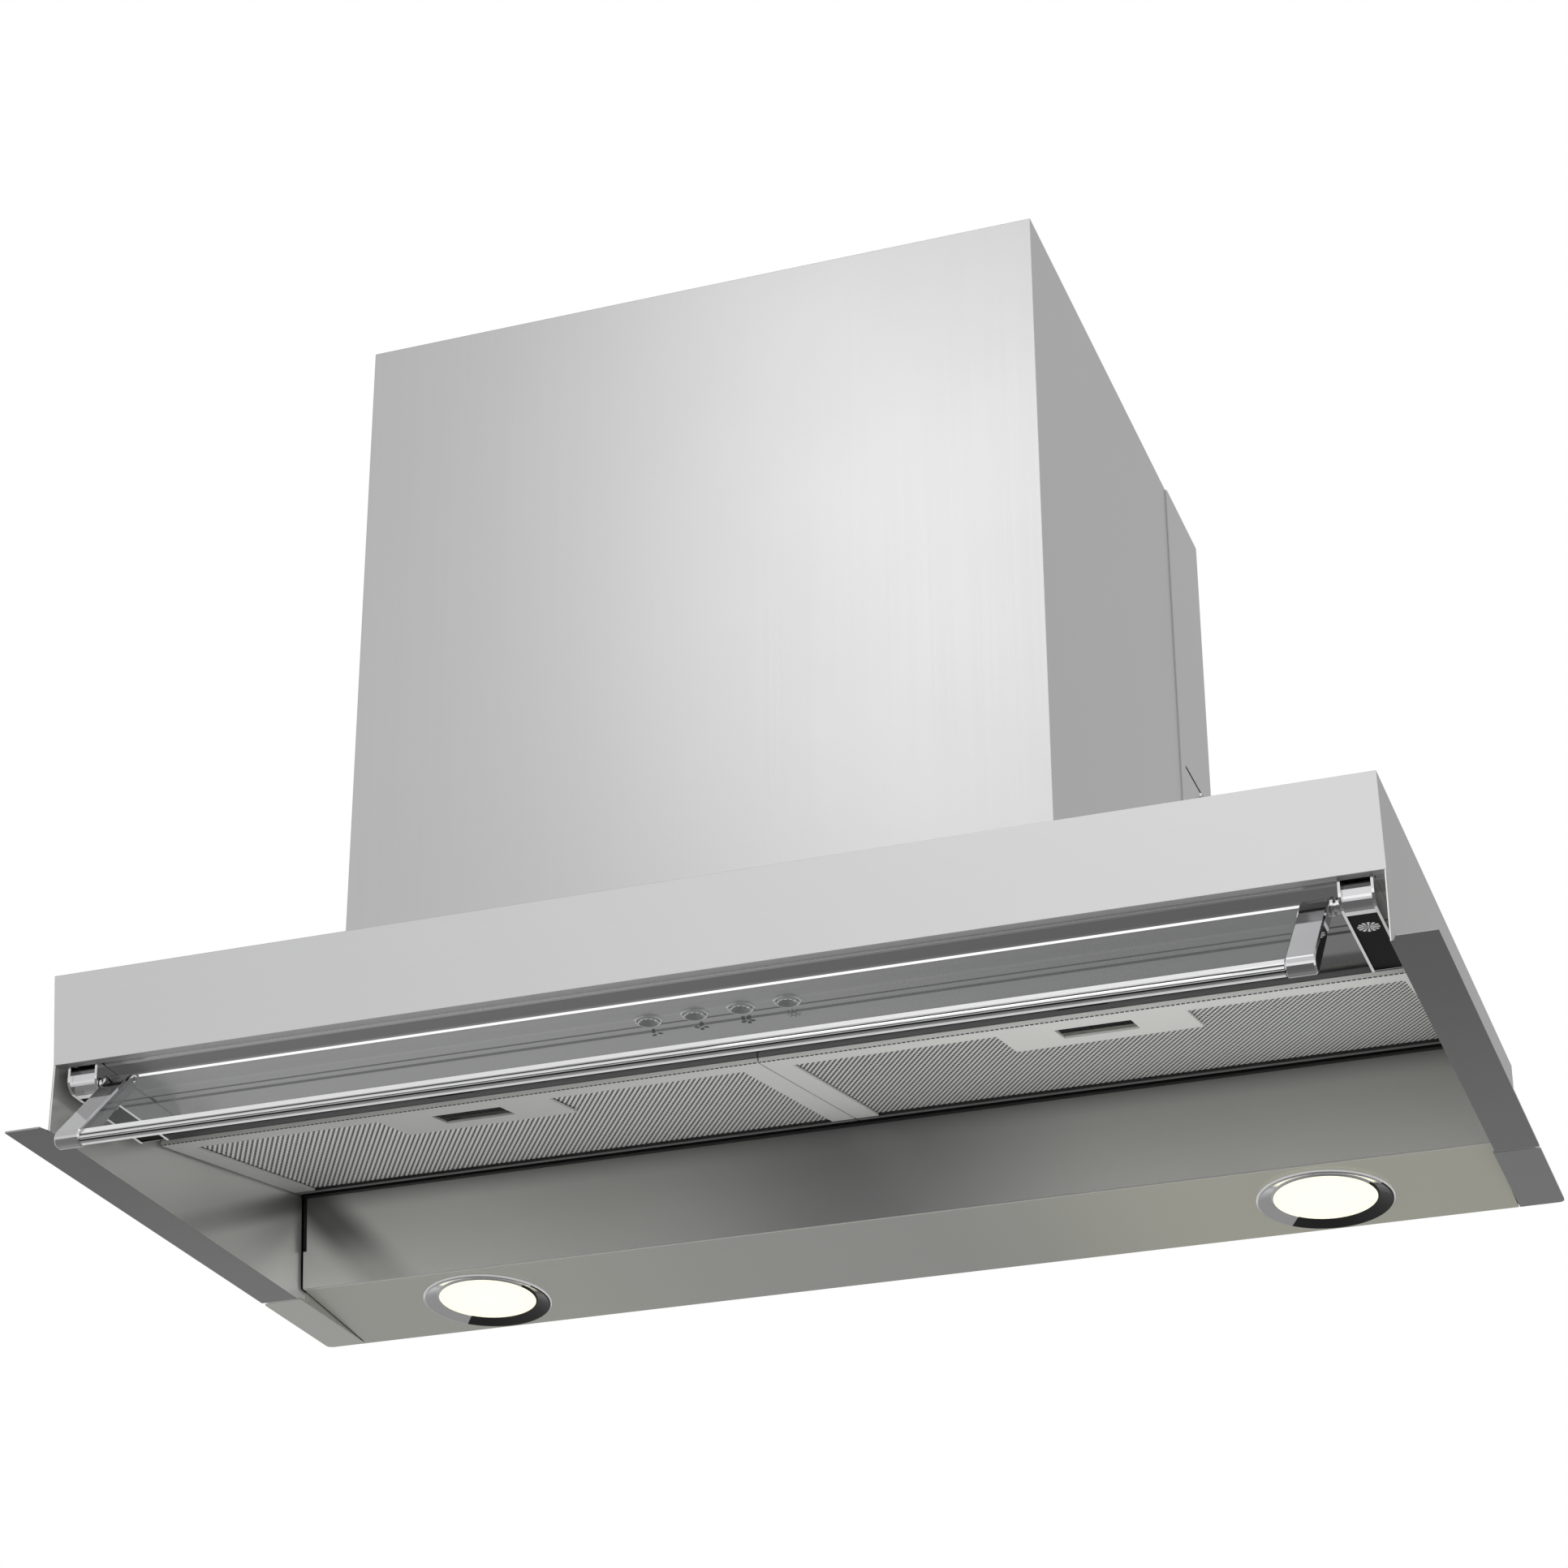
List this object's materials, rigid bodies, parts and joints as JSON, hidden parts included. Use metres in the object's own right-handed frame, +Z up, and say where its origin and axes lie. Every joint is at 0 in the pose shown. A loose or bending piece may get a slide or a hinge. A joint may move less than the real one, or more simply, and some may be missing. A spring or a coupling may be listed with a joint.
{
  "type": "built-in range hood",
  "caption": "Built-in cooker hood: flat canopy with folding glass visor, hinged grease filters, push buttons and lamps, under a tall blower housing with a round damped outlet.",
  "frame": {"origin": "centre of the four shelf screw holes, on the upper face of the canopy's top plate", "axes": "+X to the right seen from the front, +Y from the front towards the wall, +Z up through the shelf screw holes"},
  "size_m": [0.598, 0.3405, 0.41],
  "materials": {
    "stainless_fascia": "fine vertical brush",
    "stainless_housing": "fine brush",
    "stainless_canopy": "satin",
    "lit_panel": "satin",
    "chrome_trim": "mirror",
    "visor_glass": "grey tinted, clear",
    "black_plastic": "satin",
    "filter_aluminium": "satin anodised",
    "mesh_aluminium": "expanded mesh",
    "lamp_trim": "satin",
    "lamp_lens": "frosted, lit",
    "heat_sink": "matt black",
    "zinc_steel": "zinc plated",
    "motor_steel": "plain",
    "screw_steel": "plated",
    "scroll_plastic": "moulded",
    "impeller_plastic": "moulded",
    "white_plastic": "moulded",
    "board_green": "lacquered board",
    "black_rubber": "matt"
  },
  "bodies": {
    "hood": {"canopy_shell": "stainless_canopy", "fascia": "stainless_fascia", "control_panel": "stainless_canopy", "baffle_wall": "lit_panel", "light_panel": "lit_panel", "corner_plates": "lit_panel", "filter_rail": "lit_panel", "motor_housing": "stainless_housing", "housing_top": "stainless_housing", "back_cover": "stainless_housing", "housing_screws": "screw_steel", "outlet_collar": "black_plastic", "damper_pin": "zinc_steel", "outlet_duct": "scroll_plastic", "scroll_left": "scroll_plastic", "scroll_right": "scroll_plastic", "scroll_bolts": "screw_steel", "blower_brackets": "zinc_steel", "fan_motor": "motor_steel", "motor_bearings": "screw_steel", "motor_bracket": "zinc_steel", "motor_grommets": "black_rubber", "motor_screws": "screw_steel", "capacitor": "white_plastic", "capacitor_clip": "zinc_steel", "terminal_box": "white_plastic", "terminal_box_lid": "white_plastic", "cable_gland": "black_plastic", "switch_board": "board_green", "push_switches": "black_plastic", "switch_cover": "black_plastic", "button_rings": "chrome_trim", "lamp_trims": "lamp_trim", "lamp_lenses": "lamp_lens", "lamp_bodies": "heat_sink", "lamp_springs": "zinc_steel", "lamp_driver": "white_plastic", "hinge_bracket_left": "chrome_trim", "hinge_bracket_right": "chrome_trim", "bracket_covers": "black_plastic", "bracket_screws": "screw_steel"},
    "visor": {"visor_glass": "visor_glass", "visor_arm_left": "chrome_trim", "visor_arm_right": "chrome_trim", "visor_rail": "chrome_trim", "hinge_pins": "zinc_steel"},
    "filter_left": {"filter_frame_left": "filter_aluminium", "filter_mesh_left": "mesh_aluminium"},
    "filter_right": {"filter_frame_right": "filter_aluminium", "filter_mesh_right": "mesh_aluminium"},
    "latch_left": {"filter_latch_left": "black_plastic"},
    "latch_right": {"filter_latch_right": "black_plastic"},
    "speed_low": {"button_speed_low": "chrome_trim"},
    "speed_mid": {"button_speed_mid": "chrome_trim"},
    "speed_high": {"button_speed_high": "chrome_trim"},
    "lamp_switch": {"button_lamp": "chrome_trim"},
    "fan_rotor": {"impeller": "impeller_plastic", "motor_shaft": "screw_steel"},
    "flap_left": {"damper_flap_left": "black_plastic"},
    "flap_right": {"damper_flap_right": "black_plastic"}
  },
  "joints": [
    {"name": "visor_hinge", "type": "hinge", "parent": "hood", "child": "visor", "pos_m": [0, -0.1445, -0.047], "axis": [1, 0, 0], "range_deg": [0, 134]},
    {"name": "filter_drop_left", "type": "hinge", "parent": "hood", "child": "filter_left", "pos_m": [0, 0.0718, -0.01757], "axis": [1, 0, 0], "range_deg": [0, 60]},
    {"name": "filter_drop_right", "type": "hinge", "parent": "hood", "child": "filter_right", "pos_m": [0, 0.0718, -0.01757], "axis": [1, 0, 0], "range_deg": [0, 60]},
    {"name": "latch_slide_left", "type": "slide", "parent": "filter_left", "child": "latch_left", "axis": [0, 0.9848, 0.1736], "range_m": [0, 0.005], "stiffness_N_per_m": 300, "springref_m": -0.003},
    {"name": "latch_slide_right", "type": "slide", "parent": "filter_right", "child": "latch_right", "axis": [0, 0.9848, 0.1736], "range_m": [0, 0.005], "stiffness_N_per_m": 300, "springref_m": -0.003},
    {"name": "press_speed_low", "type": "slide", "parent": "hood", "child": "speed_low", "axis": [0, 0, 1], "range_m": [0, 0.0018], "stiffness_N_per_m": 500, "springref_m": -0.001},
    {"name": "press_speed_mid", "type": "slide", "parent": "hood", "child": "speed_mid", "axis": [0, 0, 1], "range_m": [0, 0.0018], "stiffness_N_per_m": 500, "springref_m": -0.001},
    {"name": "press_speed_high", "type": "slide", "parent": "hood", "child": "speed_high", "axis": [0, 0, 1], "range_m": [0, 0.0018], "stiffness_N_per_m": 500, "springref_m": -0.001},
    {"name": "press_lamp_switch", "type": "slide", "parent": "hood", "child": "lamp_switch", "axis": [0, 0, 1], "range_m": [0, 0.0018], "stiffness_N_per_m": 500, "springref_m": -0.001},
    {"name": "fan_spin", "type": "hinge", "parent": "hood", "child": "fan_rotor", "pos_m": [0, -0.0322, 0.132], "axis": [1, 0, 0], "continuous": true},
    {"name": "flap_lift_left", "type": "hinge", "parent": "hood", "child": "flap_left", "pos_m": [0, 0.05355, 0.2993], "axis": [0, 1, 0], "range_deg": [0, 70]},
    {"name": "flap_lift_right", "type": "hinge", "parent": "hood", "child": "flap_right", "pos_m": [0, 0.05355, 0.2993], "axis": [0, -1, 0], "range_deg": [0, 70]}
  ]
}
